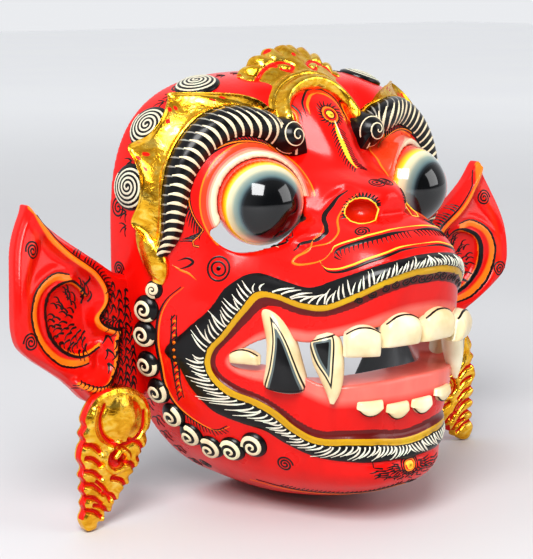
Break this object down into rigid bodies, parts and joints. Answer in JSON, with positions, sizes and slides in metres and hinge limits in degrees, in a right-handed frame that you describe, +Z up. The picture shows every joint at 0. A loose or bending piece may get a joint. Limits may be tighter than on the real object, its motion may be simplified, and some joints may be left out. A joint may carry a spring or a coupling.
{
  "type": "carved wooden demon mask",
  "caption": "Carved wooden wall or dance mask: hollow face shell with open fanged mouth, bulging eyes, eye slits, gilded crown, leaf ears and hanging ear pendants.",
  "frame": {"origin": "under the middle of the mask's depth and width, on the surface that its chin and pendant tips stand on", "axes": "+Z up, -Y out of the face, +X towards the mask's own left ear"},
  "size_m": [0.2952, 0.1205, 0.208],
  "materials": {
    "red_painted_wood": "glossy red enamel over carved wood",
    "black_painted_wood": "black enamel with cream brush strokes",
    "gilded_wood": "gold leaf over carved wood",
    "ivory_painted_wood": "ivory enamel",
    "painted_eye_wood": "high gloss painted rings",
    "bare_wood": "unfinished",
    "brass_pin": "plain"
  },
  "bodies": {
    "root": {"brow_left": "black_painted_wood", "brow_right": "black_painted_wood", "crown_band_left": "gilded_wood", "crown_band_right": "gilded_wood", "crown_crest": "gilded_wood", "ear_left": "red_painted_wood", "ear_peg_left": "bare_wood", "ear_peg_right": "bare_wood", "ear_pendant_left": "gilded_wood", "ear_pendant_right": "gilded_wood", "ear_right": "red_painted_wood", "eye_left": "painted_eye_wood", "eye_right": "painted_eye_wood", "face_shell": "red_painted_wood", "jaw_curls_left": "black_painted_wood", "jaw_curls_right": "black_painted_wood", "lower_central_tooth_left": "ivory_painted_wood", "lower_central_tooth_right": "ivory_painted_wood", "lower_lateral_tooth_left": "ivory_painted_wood", "lower_lateral_tooth_right": "ivory_painted_wood", "lower_tusk_left": "ivory_painted_wood", "lower_tusk_right": "ivory_painted_wood", "pendant_pin_left": "brass_pin", "pendant_pin_right": "brass_pin", "temple_discs_left": "black_painted_wood", "temple_discs_right": "black_painted_wood", "upper_central_incisor_left": "ivory_painted_wood", "upper_central_incisor_right": "ivory_painted_wood", "upper_fang_left": "ivory_painted_wood", "upper_fang_right": "ivory_painted_wood", "upper_lateral_incisor_left": "ivory_painted_wood", "upper_lateral_incisor_right": "ivory_painted_wood", "upper_molar_left": "ivory_painted_wood", "upper_molar_right": "ivory_painted_wood"}
  },
  "joints": []
}
